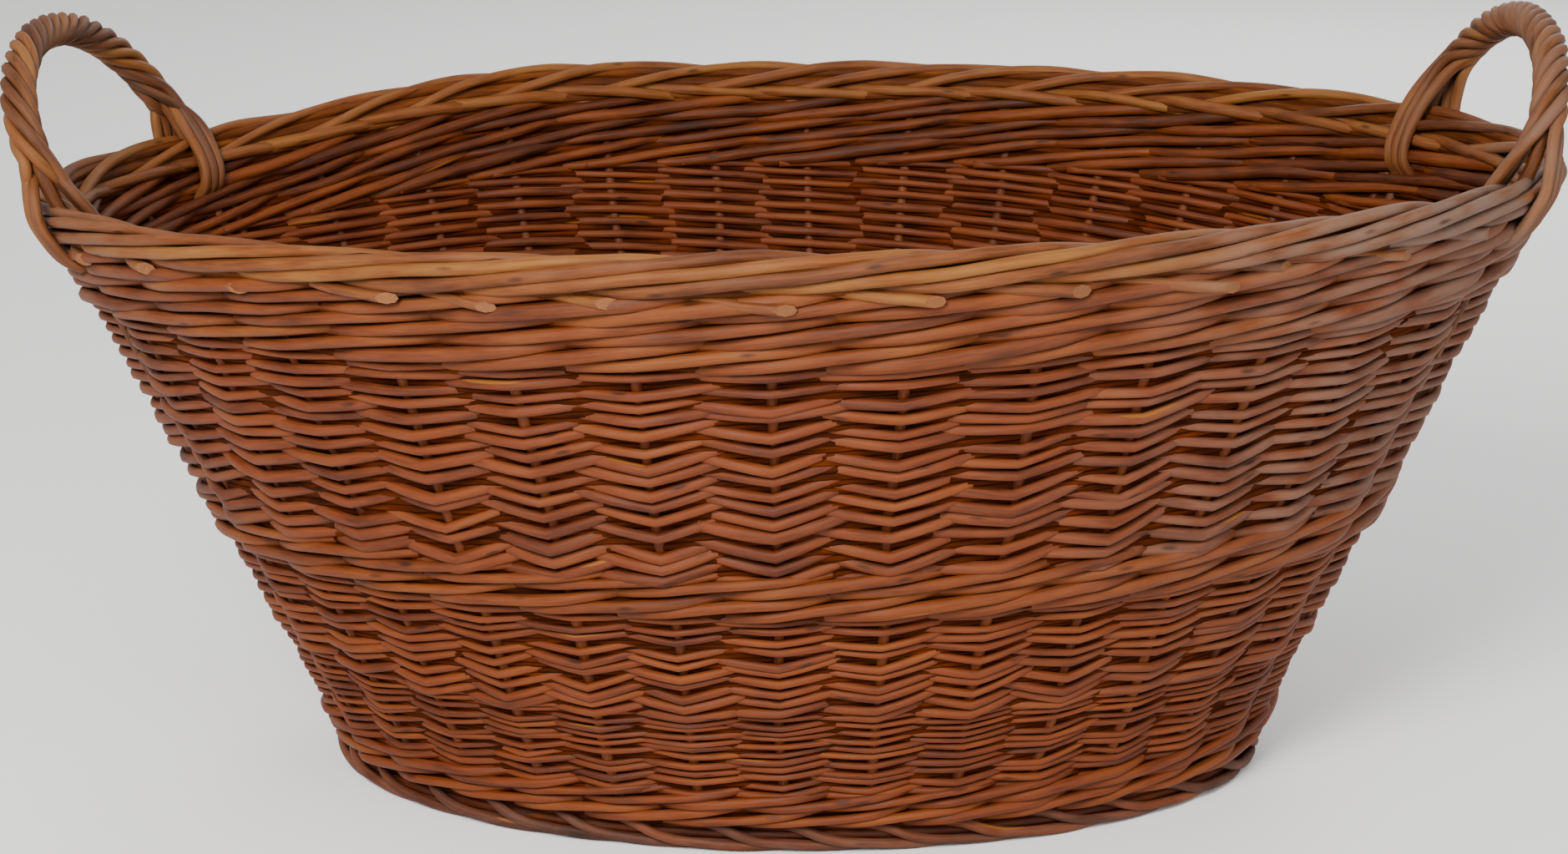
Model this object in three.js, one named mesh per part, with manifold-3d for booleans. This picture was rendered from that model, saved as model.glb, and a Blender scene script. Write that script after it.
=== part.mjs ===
// Oval wicker log basket with two rope-twisted handles. Millimetres, +Z up.
// The origin is on the floor under the middle of the basket, with X along its length.

import * as THREE from 'three';
import { mergeVertices } from 'three/addons/utils/BufferGeometryUtils.js';
import Module from 'manifold-3d';

const wasm = await Module();
wasm.setup();

// The wall is measured on the surface through the middle of the stakes. It is an oval at every
// height, and it flares in a straight line from the floor to the top of the border.
const HEIGHT = 287;
const FLOOR_OVAL = { x: 208, y: 127.5 };
const RIM_OVAL = { x: 340, y: 240 };
const RIM_PINCH = 0.03; // how far the rim's four quarters are pulled in, as a share of its size
const RIM_LIFT = 6.8; // how far the +X end is woven too high, and the -X end too low
const RIM_DIP = 8.7; // how far both ends droop below the middle
const RIM_OUTSIDE = 10; // from the stakes' middle to the border's outer face

const GAP = 0.35; // between two pieces that touch on the real basket
const RING_SEGMENTS = 64;

const STAKE_COUNT = 32;
const STAKE_RADIUS = 2.4;
const STAKE_SIDES = 6;
const STAKE_TOP = 278;

// The floor is an oval mat woven round crossed sticks, which show as ridges on both of its faces.
const MAT = { bottom: 12, top: 22, inset: 9.6 };
const STICK_HEIGHT = (MAT.bottom + MAT.top) / 2;
const STICK_INSET = 28; // from the stakes' middle to the sticks' ends
const STICK_SIDES = 8;
const CROSS_STICKS = { count: 7, radius: 5, spacing: 46 };
const LONG_STICKS = { count: 3, radius: 2.5, spacing: 5.4 };

// Each woven band is a ring. Its faces are given as distances out from the stakes' middle.
const BANDS = [
  { name: 'foot_border', bottom: 0, top: 12, inside: -9, outside: 8, colour: 'siding' },
  { name: 'upsett_wale', bottom: 12.4, top: 29, inside: -8.5, outside: 8.5, colour: 'siding' },
  { name: 'lower_siding_fine', bottom: 29.4, top: 71, inside: -6, outside: 6, colour: 'siding' },
  { name: 'lower_siding_coarse', bottom: 71.4, top: 120, inside: -6.3, outside: 6.3, colour: 'siding' },
  { name: 'middle_wale', bottom: 120.4, top: 141, inside: -8.5, outside: 8.5, colour: 'wale' },
  { name: 'upper_siding', bottom: 141.4, top: 240, inside: -6.5, outside: 6.5, colour: 'siding' },
  { name: 'top_wale', bottom: 240.4, top: 267.6, inside: -8.5, outside: 8.5, colour: 'wale' },
  { name: 'rim_border', bottom: 268, top: HEIGHT, inside: -11, outside: RIM_OUTSIDE, colour: 'border' },
];

// Each handle's two feet stand beside stakes. Places round the rim are counted in stakes from its end.
// Reach is from the middle of the basket to the top of the bow. The two handles aren't quite alike.
const HANDLE = {
  frontFoot: -1.45,
  backFoot: 1.8,
  bowRadius: 3,
  ropeRadius: 8,
  bowBottom: 205,
  ropeBottom: HEIGHT + 3.6,
  fullness: 0.72, // below 1 makes the arch squarer than a half circle
  steps: 14,
};
const HANDLES = [
  { label: 'left', side: -1, top: 335, reach: 335 },
  { label: 'right', side: 1, top: 337, reach: 325 },
];

const MATERIALS = {
  stake: { color: 0x8a4a22, roughness: 0.6, metalness: 0 },
  siding: { color: 0xa3592c, roughness: 0.55, metalness: 0 },
  wale: { color: 0xa8612f, roughness: 0.55, metalness: 0 },
  border: { color: 0xb5804f, roughness: 0.6, metalness: 0 },
  handle: { color: 0x96603c, roughness: 0.6, metalness: 0 },
  base: { color: 0x9a6234, roughness: 0.65, metalness: 0 },
};

const basket = new THREE.Group();

// ---- The wall's shape ----

const midOval = new THREE.EllipseCurve(
  0,
  0,
  (FLOOR_OVAL.x + RIM_OVAL.x) / 2,
  (FLOOR_OVAL.y + RIM_OVAL.y) / 2,
);
midOval.arcLengthDivisions = 1440;

// A turn is a share of the way round from +X, measured along the wall so that stakes are evenly spaced.
function angleAt(turn) {
  const share = ((turn % 1) + 1) % 1;
  return 2 * Math.PI * midOval.getUtoTmapping(share);
}

function ovalAt(height) {
  const share = height / HEIGHT;
  return {
    x: THREE.MathUtils.lerp(FLOOR_OVAL.x, RIM_OVAL.x, share),
    y: THREE.MathUtils.lerp(FLOOR_OVAL.y, RIM_OVAL.y, share),
    pinch: RIM_PINCH * share,
  };
}

function droopAt(x, height) {
  const along = x / (RIM_OVAL.x + RIM_OUTSIDE);
  return (height / HEIGHT) * along * (RIM_LIFT - RIM_DIP * along);
}

function wallPoint(turn, height, out = 0) {
  const angle = angleAt(turn);
  const oval = ovalAt(height);
  const pull = 1 - oval.pinch * Math.sin(2 * angle) ** 2;
  const x = (oval.x + out) * Math.cos(angle) * pull;
  const y = (oval.y + out) * Math.sin(angle) * pull;
  return new THREE.Vector3(x, y, height + droopAt(x, height));
}

// ---- Solids ----

function toSolid(geometry) {
  const bare = geometry.clone();
  bare.deleteAttribute('normal');
  bare.deleteAttribute('uv');
  const merged = mergeVertices(bare);
  const mesh = new wasm.Mesh({
    numProp: 3,
    vertProperties: new Float32Array(merged.attributes.position.array),
    triVerts: new Uint32Array(merged.index.array),
  });
  return new wasm.Manifold(mesh);
}

function toGeometry(solid) {
  const mesh = solid.getMesh();
  const geometry = new THREE.BufferGeometry();
  geometry.setAttribute('position', new THREE.BufferAttribute(mesh.vertProperties, 3));
  geometry.setIndex(new THREE.BufferAttribute(mesh.triVerts, 1));
  geometry.computeVertexNormals();
  return geometry;
}

function cut(geometry, solids) {
  return toGeometry(solids.reduce((rest, tool) => rest.subtract(tool), toSolid(geometry)));
}

function addPiece(name, geometry, materialName) {
  const mesh = new THREE.Mesh(geometry, new THREE.MeshStandardMaterial(MATERIALS[materialName]));
  mesh.name = name;
  basket.add(mesh);
}

// A smooth path whose swept sections stand at its control points, and nowhere else.
class RodPath extends THREE.CatmullRomCurve3 {
  getUtoTmapping(share) {
    return share;
  }
}

function sweep(points, section) {
  const path = new RodPath(points);
  return new THREE.ExtrudeGeometry(section, {
    steps: points.length - 1,
    extrudePath: path,
    bevelEnabled: false,
  });
}

function polygon(radius, sides) {
  const corners = [];
  for (let i = 0; i < sides; i += 1) {
    const angle = (2 * Math.PI * i) / sides;
    corners.push(new THREE.Vector2(radius * Math.cos(angle), radius * Math.sin(angle)));
  }
  return corners;
}

// ---- Stakes: pushed into the mat's edge, then turned up to form the wall's ribs ----

// A stake, or with a gap the square tunnel that holds it.
function stake(turn, gap = 0) {
  const points = [
    wallPoint(turn, STICK_HEIGHT, -24),
    wallPoint(turn, STICK_HEIGHT, -4),
    wallPoint(turn, STICK_HEIGHT + 6, 0),
    wallPoint(turn, STAKE_TOP, 0),
  ];
  if (gap === 0) {
    return sweep(points, new THREE.Shape(polygon(STAKE_RADIUS, STAKE_SIDES)));
  }
  points[0].add(points[0].clone().sub(points[1]).setLength(gap));
  points[3].add(points[3].clone().sub(points[2]).setLength(gap));
  return sweep(points, new THREE.Shape(polygon((STAKE_RADIUS + gap) * Math.SQRT2, 4)));
}

const stakeTurns = Array.from({ length: STAKE_COUNT }, (_, i) => i / STAKE_COUNT);
stakeTurns.forEach((turn, i) => {
  addPiece(`stake_${String(i + 1).padStart(2, '0')}`, stake(turn), 'stake');
});
const stakeTunnels = stakeTurns.map((turn) => toSolid(stake(turn, GAP)));

// ---- Handles: a bow pushed down beside the stakes, with a rope of rods twisted round it ----

function archPath({ side, top, reach }, bottom) {
  const turnOf = (place) => (side > 0 ? place : STAKE_COUNT / 2 - place) / STAKE_COUNT;
  const front = turnOf(HANDLE.frontFoot);
  const back = turnOf(HANDLE.backFoot);
  const frontFoot = wallPoint(front, HANDLE.ropeBottom);
  const backFoot = wallPoint(back, HANDLE.ropeBottom);
  const points = [];
  for (let i = 0; i <= HANDLE.steps; i += 1) {
    const angle = (Math.PI * i) / HANDLE.steps;
    const rise = Math.sin(angle) ** HANDLE.fullness;
    const across = (1 - Math.cos(angle)) / 2;
    const foot = frontFoot.clone().lerp(backFoot, across);
    points.push(new THREE.Vector3(
      THREE.MathUtils.lerp(foot.x, side * reach, rise),
      foot.y,
      THREE.MathUtils.lerp(foot.z, top, rise),
    ));
  }
  if (bottom < HANDLE.ropeBottom) {
    points.unshift(wallPoint(front, bottom), wallPoint(front, HANDLE.ropeBottom - 15));
    points.push(wallPoint(back, HANDLE.ropeBottom - 15), wallPoint(back, bottom));
  }
  return points;
}

function bow(handle, extra = 0) {
  const points = archPath(handle, HANDLE.bowBottom - extra);
  return sweep(points, new THREE.Shape(polygon(HANDLE.bowRadius + extra, 6)));
}

function rope(handle) {
  const section = new THREE.Shape(polygon(HANDLE.ropeRadius, 8));
  section.holes.push(new THREE.Path(polygon(HANDLE.bowRadius + GAP, 6).reverse()));
  return sweep(archPath(handle, HANDLE.ropeBottom), section);
}

const bowTunnels = [];
for (const handle of HANDLES) {
  addPiece(`handle_bow_${handle.label}`, bow(handle), 'handle');
  addPiece(`handle_rope_${handle.label}`, rope(handle), 'handle');
  bowTunnels.push(toSolid(bow(handle, GAP)));
}

// ---- Woven bands: rings that follow the wall, bored for the stakes and the bows ----

// The ring is turned at a plain radius, and each of its points is then moved onto the wall.
function bandRing(band) {
  const plainRadius = 100;
  const inside = plainRadius + band.inside;
  const outside = plainRadius + band.outside;
  const corners = [[outside, band.bottom], [outside, band.top], [inside, band.top], [inside, band.bottom]];
  const profile = [...corners, corners[0]].map(([radius, z]) => new THREE.Vector2(radius, z));
  const ring = new THREE.LatheGeometry(profile, RING_SEGMENTS, Math.PI / RING_SEGMENTS);
  ring.rotateX(Math.PI / 2);
  const position = ring.attributes.position;
  for (let i = 0; i < position.count; i += 1) {
    const x = position.getX(i);
    const y = position.getY(i);
    const turn = Math.round((4 * RING_SEGMENTS * Math.atan2(y, x)) / (2 * Math.PI)) / (4 * RING_SEGMENTS);
    const point = wallPoint(turn, position.getZ(i), Math.hypot(x, y) - plainRadius);
    position.setXYZ(i, point.x, point.y, point.z);
  }
  return ring;
}

for (const band of BANDS) {
  const tools = band.top > HANDLE.bowBottom ? [...stakeTunnels, ...bowTunnels] : stakeTunnels;
  const isBored = band.top > STICK_HEIGHT - STAKE_RADIUS - GAP;
  const ring = bandRing(band);
  addPiece(band.name, isBored ? cut(ring, tools) : ring, band.colour);
}

// ---- The mat and its sticks ----

function stickReach(axis, offset) {
  const oval = ovalAt(STICK_HEIGHT);
  const length = oval[axis] - STICK_INSET;
  const other = oval[axis === 'x' ? 'y' : 'x'] - STICK_INSET;
  return length * Math.sqrt(1 - (offset / other) ** 2);
}

function spread({ count, spacing }) {
  return Array.from({ length: count }, (_, i) => (i - (count - 1) / 2) * spacing);
}

function crossStick(x, extra = 0) {
  const { radius } = CROSS_STICKS;
  const length = 2 * (stickReach('y', x) + extra);
  const stick = new THREE.CylinderGeometry(radius + extra, radius + extra, length, STICK_SIDES);
  return stick.translate(x, 0, STICK_HEIGHT);
}

function longStick(y) {
  const { radius } = LONG_STICKS;
  const stick = new THREE.CylinderGeometry(radius, radius, 2 * stickReach('x', y), STICK_SIDES);
  return stick.rotateZ(Math.PI / 2).translate(0, y, STICK_HEIGHT);
}

// The long sticks lie side by side in one slit through the mat and the cross sticks.
function slit() {
  const thick = 2 * (LONG_STICKS.radius + GAP);
  const wide = thick + (LONG_STICKS.count - 1) * LONG_STICKS.spacing;
  const long = 2 * (stickReach('x', 0) + GAP);
  return new THREE.BoxGeometry(long, wide, thick).translate(0, 0, STICK_HEIGHT);
}

function matOutline() {
  const oval = ovalAt(MAT.bottom);
  const corners = Array.from({ length: RING_SEGMENTS }, (_, i) => {
    const angle = angleAt(i / RING_SEGMENTS);
    return new THREE.Vector2(
      (oval.x - MAT.inset) * Math.cos(angle),
      (oval.y - MAT.inset) * Math.sin(angle),
    );
  });
  return new THREE.Shape(corners);
}

// The mat's edge flares with the wall.
function mat() {
  const body = new THREE.ExtrudeGeometry(matOutline(), { depth: MAT.top - MAT.bottom, bevelEnabled: false });
  const low = ovalAt(MAT.bottom);
  const high = ovalAt(MAT.top);
  const position = body.attributes.position;
  for (let i = 0; i < position.count; i += 1) {
    if (position.getZ(i) > 0) {
      position.setX(i, position.getX(i) * ((high.x - MAT.inset) / (low.x - MAT.inset)));
      position.setY(i, position.getY(i) * ((high.y - MAT.inset) / (low.y - MAT.inset)));
    }
  }
  return body.translate(0, 0, MAT.bottom);
}

const slitSolid = toSolid(slit());
const crossTunnels = [];
spread(CROSS_STICKS).forEach((x, i) => {
  addPiece(`cross_stick_${i + 1}`, cut(crossStick(x), [slitSolid]), 'base');
  crossTunnels.push(toSolid(crossStick(x, GAP)));
});
spread(LONG_STICKS).forEach((y, i) => {
  addPiece(`long_stick_${i + 1}`, longStick(y), 'base');
});
addPiece('base_mat', cut(mat(), [slitSolid, ...crossTunnels, ...stakeTunnels]), 'base');

export default basket;
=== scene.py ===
"""An oval wicker log basket with two rope-twisted handles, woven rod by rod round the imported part.

Lengths are in millimetres until a mesh is made, which turns them into metres. Places round the wall
are counted in stakes, anticlockwise from the +X end. Shares go from 0 to 1.
"""

import math

import bpy
import numpy as np
from mathutils import Matrix, Vector


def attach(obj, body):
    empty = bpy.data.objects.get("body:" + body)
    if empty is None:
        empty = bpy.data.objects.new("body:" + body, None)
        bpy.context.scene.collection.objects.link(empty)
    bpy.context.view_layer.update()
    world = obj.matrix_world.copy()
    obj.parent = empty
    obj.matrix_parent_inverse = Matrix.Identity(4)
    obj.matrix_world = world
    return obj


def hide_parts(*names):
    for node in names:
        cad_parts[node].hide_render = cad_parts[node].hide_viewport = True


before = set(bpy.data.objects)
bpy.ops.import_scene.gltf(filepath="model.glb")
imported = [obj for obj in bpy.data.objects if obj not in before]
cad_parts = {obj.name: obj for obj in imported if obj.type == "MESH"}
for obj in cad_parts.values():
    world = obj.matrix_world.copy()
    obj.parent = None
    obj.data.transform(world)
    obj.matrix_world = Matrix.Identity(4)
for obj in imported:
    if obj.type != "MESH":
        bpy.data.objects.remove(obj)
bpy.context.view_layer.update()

MM = 0.001

# ---- The wall ----

# As in the CAD model: half sizes of the stakes' middle line at the floor and at the rim.
HEIGHT = 287.0
FLOOR_OVAL = (208.0, 127.5)
RIM_OVAL = (340.0, 240.0)
RIM_PINCH = 0.03  # how far the rim's quarters are drawn in, as a share
RIM_LIFT = 6.8  # how much higher the rim is at the +X end, and lower at the other
RIM_DIP = 8.7  # how far both ends dip
RIM_OUTSIDE = 10.0  # from the stakes' middle to the rim's outer edge

# The woven model departs from the CAD by these.
END_PULL = 4.0  # how far the two ends stand in
END_PULL_SHARE = 0.06  # of the height, over which that grows from nothing
SWELL = 7.5  # the left half of the far rim stands this much higher
SWELL_ANGLE = math.radians(118)
SWELL_REACH = math.radians(31)

STAKES = 32
STAKE_RADIUS = 2.8
STICK_HEIGHT = 17.0  # of the base sticks' middle
LEAN = 1.085  # a step out from the leaning wall is this much longer when it is measured level
ARC_STEPS = 2880
UP = np.array([0.0, 0.0, 1.0])


def arc_table():
    """Shares of the way round the middle oval, and the angles where they are reached."""
    angles = np.linspace(0, 2 * np.pi, ARC_STEPS + 1)
    half = [(FLOOR_OVAL[i] + RIM_OVAL[i]) / 2 for i in (0, 1)]
    points = np.stack([half[0] * np.cos(angles), half[1] * np.sin(angles)], axis=1)
    lengths = np.linalg.norm(np.diff(points, axis=0), axis=1)
    shares = np.concatenate([[0], np.cumsum(lengths)]) / lengths.sum()
    return shares, angles


ARC_SHARES, ARC_ANGLES = arc_table()


def angle_at(place):
    """The angle of the oval at a place counted in stakes."""
    return np.interp((np.asarray(place, float) / STAKES) % 1.0, ARC_SHARES, ARC_ANGLES)


def wall(place, height, out=0.0):
    """The point out from the stakes' middle, level with the wall's given height."""
    angle = angle_at(place)
    share = np.asarray(height, float) / HEIGHT
    pull = 1 - RIM_PINCH * share * np.sin(2 * angle) ** 2
    half_x = FLOOR_OVAL[0] + (RIM_OVAL[0] - FLOOR_OVAL[0]) * share + out
    half_x = half_x - END_PULL * np.clip(share / END_PULL_SHARE, 0, 1)
    half_y = FLOOR_OVAL[1] + (RIM_OVAL[1] - FLOOR_OVAL[1]) * share + out
    x = half_x * np.cos(angle) * pull
    y = half_y * np.sin(angle) * pull
    end = x / (RIM_OVAL[0] + RIM_OUTSIDE)
    z = height + share * end * (RIM_LIFT - RIM_DIP * end)
    off = np.clip((angle - SWELL_ANGLE) / SWELL_REACH, -1, 1)
    z = z + SWELL * share**2 * np.cos(np.pi / 2 * off) ** 2
    return np.stack(np.broadcast_arrays(x, y, z), axis=-1)


def outward(place):
    """The level direction that leads straight out of the wall."""
    angle = angle_at(place)
    x = np.cos(angle) / (FLOOR_OVAL[0] + RIM_OVAL[0])
    y = np.sin(angle) / (FLOOR_OVAL[1] + RIM_OVAL[1])
    length = np.hypot(x, y)
    return np.stack([x / length, y / length, np.zeros_like(x)], axis=-1)


# ---- Rods ----

SIDES = 8
SLANT_SHARES = (1.0, 0.6, 0.3, 0.1)  # of a slanted cut, in its own ring and the rings before it
OCTAVES = (1.0, 0.53, 0.31)
LUMP_WAVELENGTH = 70.0
DRIFT_WAVELENGTH = 160.0
RANDOM_TONE = (0.54, 0.08)  # mean and spread
TINY = 1e-9


def unit(vectors):
    lengths = np.linalg.norm(vectors, axis=-1, keepdims=True)
    return vectors / np.maximum(lengths, TINY)


def through(knots, values, at):
    """A smooth line through values at the knots, read off at each place."""
    knots = np.asarray(knots, float)
    values = np.asarray(values, float)
    slopes = np.gradient(values, knots, axis=0)
    left = np.clip(np.searchsorted(knots, at, side="right") - 1, 0, len(knots) - 2)
    step = knots[left + 1] - knots[left]
    s = (at - knots[left]) / step
    if values.ndim > 1:
        s, step = s[..., None], step[..., None]
    return (
        (1 + 2 * s) * (1 - s) ** 2 * values[left]
        + s * (1 - s) ** 2 * step * slopes[left]
        + s**2 * (3 - 2 * s) * values[left + 1]
        + s**2 * (s - 1) * step * slopes[left + 1]
    )


def wander(rng, rods, lengths, wavelength):
    """Smooth random waves along rods, from about -1 to 1, at the lengths given for each rod."""
    total = np.zeros_like(lengths)
    for octave in OCTAVES:
        phase = rng.uniform(0, 2 * np.pi, (rods, 1))
        stretch = rng.uniform(0.8, 1.25, (rods, 1))
        wave = 2 * np.pi * lengths * stretch / (wavelength * octave) + phase
        total += octave * np.sin(wave)
    return total / sum(OCTAVES)


def along(path):
    """How far each point of the paths is from its path's start."""
    steps = np.linalg.norm(np.diff(path, axis=-2), axis=-1)
    starts = np.zeros(steps.shape[:-1] + (1,))
    return np.concatenate([starts, np.cumsum(steps, axis=-1)], axis=-1)


def skin(
    rng,
    path,
    radius,
    reference,
    tone=None,
    weather=0.0,
    lumps=0.05,
    ends=(0.0, 0.0),
    sheen=1.0,
):
    """Round rods along the paths, as arrays for one mesh.

    path is (rods, points, 3) and radius fits (rods, points). The sides count from reference. tone
    is the bark's shade from 0 to 1, drawn at random if none is given; for hidden rods and the wale's
    inside parts it is lowered as painted shade. weather is the share of grey bloom, lumps how uneven
    the thickness is, and sheen the share of the full gloss. tone, like weather, can be given for
    each rod or each point. ends slant the first and the last cut by that share of the diameter.
    """
    rods, count = path.shape[:2]
    radius = np.broadcast_to(np.asarray(radius, float), (rods, count)).copy()
    lengths = along(path)
    radius *= 1 + lumps * wander(rng, rods, lengths, LUMP_WAVELENGTH)

    tangent = unit(np.gradient(path, axis=1))
    reference = np.broadcast_to(reference, path.shape)
    first = unit(reference - (reference * tangent).sum(-1, keepdims=True) * tangent)
    second = np.cross(tangent, first)
    turn = np.arange(SIDES) * 2 * np.pi / SIDES
    local_u = radius[..., None] * np.cos(turn)
    local_v = radius[..., None] * np.sin(turn)
    points = (
        path[:, :, None]
        + local_u[..., None] * first[:, :, None]
        + local_v[..., None] * second[:, :, None]
    )
    for back, share in enumerate(SLANT_SHARES):
        for index, slant in ((back, ends[0]), (-1 - back, ends[1])):
            shift = share * slant * local_u[:, index]
            points[:, index] += shift[..., None] * tangent[:, index, None]

    ring = np.arange(SIDES)
    rows = np.arange(rods)[:, None, None] * count + np.arange(count - 1)[None, :, None]
    a = rows * SIDES + ring
    b = rows * SIDES + (ring + 1) % SIDES
    quads = np.stack([a, b, b + SIDES, a + SIDES], axis=-1).reshape(-1, 4)
    first_ring = np.arange(rods)[:, None] * count * SIDES
    caps = np.concatenate([first_ring + ring[::-1], first_ring + (count - 1) * SIDES + ring])

    if tone is None:
        tone = rng.normal(*RANDOM_TONE, rods)
    tone = np.asarray(tone, float)
    tone = np.broadcast_to(tone if tone.ndim == 2 else tone.reshape(-1, 1), (rods, count))
    drift = 0.5 + 0.5 * wander(rng, rods, lengths, DRIFT_WAVELENGTH)
    weather = np.broadcast_to(np.asarray(weather, float), (rods, count))
    look = np.stack([tone, drift, weather, np.full_like(drift, sheen)], axis=-1)
    look = np.repeat(look[:, :, None], SIDES, axis=2)

    seed = rng.uniform(0, 4000, (rods, 1, 1))
    lengthwise = np.broadcast_to(lengths[..., None] + seed, local_u.shape)
    bark = np.stack([lengthwise, local_u, local_v], axis=-1)
    return {
        "points": points.reshape(-1, 3),
        "quads": quads,
        "caps": caps,
        "look": look.reshape(-1, 4),
        "bark": bark.reshape(-1, 3) * MM,
    }


def piece(name, parts, materials, slot, *nodes):
    """One object of many rods, which takes the place of the CAD nodes.

    Cut ends take the second material.
    """

    def joined(key):
        return np.concatenate([p[key] for p in parts]).astype(np.float32).ravel()

    offsets = np.cumsum([0] + [len(p["points"]) for p in parts])
    quads = np.concatenate([p["quads"] + o for p, o in zip(parts, offsets)])
    caps = np.concatenate([p["caps"] + o for p, o in zip(parts, offsets)])
    points = np.concatenate([p["points"] for p in parts]) * MM
    corners = np.concatenate([quads.ravel(), caps.ravel()])
    faces = len(quads) + len(caps)
    cap_starts = quads.size + np.arange(len(caps)) * SIDES
    starts = np.concatenate([np.arange(len(quads)) * 4, cap_starts])
    is_cap = np.arange(faces) >= len(quads)

    mesh = bpy.data.meshes.new(name)
    mesh.vertices.add(len(points))
    mesh.vertices.foreach_set("co", points.astype(np.float32).ravel())
    mesh.loops.add(len(corners))
    mesh.loops.foreach_set("vertex_index", corners.astype(np.int32))
    mesh.polygons.add(faces)
    mesh.polygons.foreach_set("loop_start", starts.astype(np.int32))
    mesh.polygons.foreach_set("material_index", is_cap.astype(np.int32))
    mesh.update(calc_edges=True)
    mesh.polygons.foreach_set("use_smooth", ~is_cap)

    look = mesh.attributes.new("look", "FLOAT_COLOR", "POINT")
    look.data.foreach_set("color", joined("look"))
    bark = mesh.attributes.new("bark", "FLOAT_VECTOR", "POINT")
    bark.data.foreach_set("vector", joined("bark"))
    for material in materials:
        mesh.materials.append(material)

    obj = bpy.data.objects.new(name, mesh)
    bpy.context.scene.collection.objects.link(obj)
    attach(obj, "root")
    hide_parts(*nodes)


# ---- Materials ----


def linear(channel):
    """A linear value, from the 0 to 255 value that a colour picker shows (the sRGB standard)."""
    c = channel / 255
    return c / 12.92 if c <= 0.04045 else ((c + 0.055) / 1.055) ** 2.4


def srgb(red, green, blue):
    return [linear(red), linear(green), linear(blue), 1.0]


class Nodes:
    """Short calls for building one material's node tree."""

    def __init__(self, name):
        self.material = bpy.data.materials.new(name)
        self.material.use_nodes = True
        self.tree = self.material.node_tree
        self.shader = self.tree.nodes["Principled BSDF"]

    def add(self, kind, inputs=None, **settings):
        node = self.tree.nodes.new(kind)
        for key, value in settings.items():
            setattr(node, key, value)
        for key, value in (inputs or {}).items():
            self.put(node.inputs[key], value)
        return node

    def put(self, socket, value):
        if isinstance(value, bpy.types.NodeSocket):
            self.tree.links.new(value, socket)
        else:
            socket.default_value = value

    def math(self, operation, *values, clamp=False):
        inputs = dict(enumerate(values))
        node = self.add("ShaderNodeMath", inputs, operation=operation, use_clamp=clamp)
        return node.outputs[0]

    def attribute(self, name, output):
        return self.add("ShaderNodeAttribute", attribute_name=name).outputs[output]

    def noise(self, vector, scale, detail, roughness):
        inputs = {"Vector": vector, "Scale": scale, "Detail": detail, "Roughness": roughness}
        return self.add("ShaderNodeTexNoise", inputs).outputs["Fac"]

    def specks(self, vector):
        """How far each point is from the nearest of some scattered points."""
        inputs = {"Vector": vector, "Scale": 1.0, "Randomness": 1.0}
        return self.add("ShaderNodeTexVoronoi", inputs).outputs["Distance"]

    def stretched(self, vector, lengthwise, around):
        """The bark's own coordinates, scaled along the rod and around it."""
        scale = (lengthwise, around, around)
        node = self.add("ShaderNodeVectorMath", {0: vector, 1: scale}, operation="MULTIPLY")
        return node.outputs[0]

    def ramp(self, value, stops):
        """A colour between the stops, each a place and a colour there."""
        node = self.add("ShaderNodeValToRGB", {"Fac": value})
        elements = node.color_ramp.elements
        while len(elements) < len(stops):
            elements.new(1.0)
        for element, (place, colour) in zip(elements, stops):
            element.position = place
            element.color = colour
        return node.outputs["Color"]

    def span(self, value, low, high, to_low=0.0, to_high=1.0):
        """The value's range from low to high, mapped onto the other range and held within it."""
        inputs = {"Value": value, "From Min": low, "From Max": high}
        inputs.update({"To Min": to_low, "To Max": to_high})
        return self.add("ShaderNodeMapRange", inputs, clamp=True).outputs["Result"]

    def relief(self, height, strength, distance):
        """Bumps on the shader."""
        inputs = {"Height": height, "Strength": strength, "Distance": distance}
        self.put(self.shader.inputs["Normal"], self.add("ShaderNodeBump", inputs).outputs[0])

    def mix(self, share, a, b):
        """a where share is 0 and b where it is 1. Inputs 6 and 7 are the colours."""
        node = self.add("ShaderNodeMix", data_type="RGBA")
        self.put(node.inputs["Factor"], share)
        self.put(node.inputs[6], a)
        self.put(node.inputs[7], b)
        return node.outputs[2]


WORN = srgb(101, 79, 68)
PEELED = srgb(120, 74, 26)
GLOSS = 0.56  # the bark's middling roughness
SPECULAR = 0.2

# How fast each pattern of the bark changes along a rod and around it.
STREAKS = (60.0, 900.0)
BLOTCHES = (38.0, 130.0)
SCARS = (34.0, 120.0)
PEELS = (6.0, 90.0)
GRIME = 26.0


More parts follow.
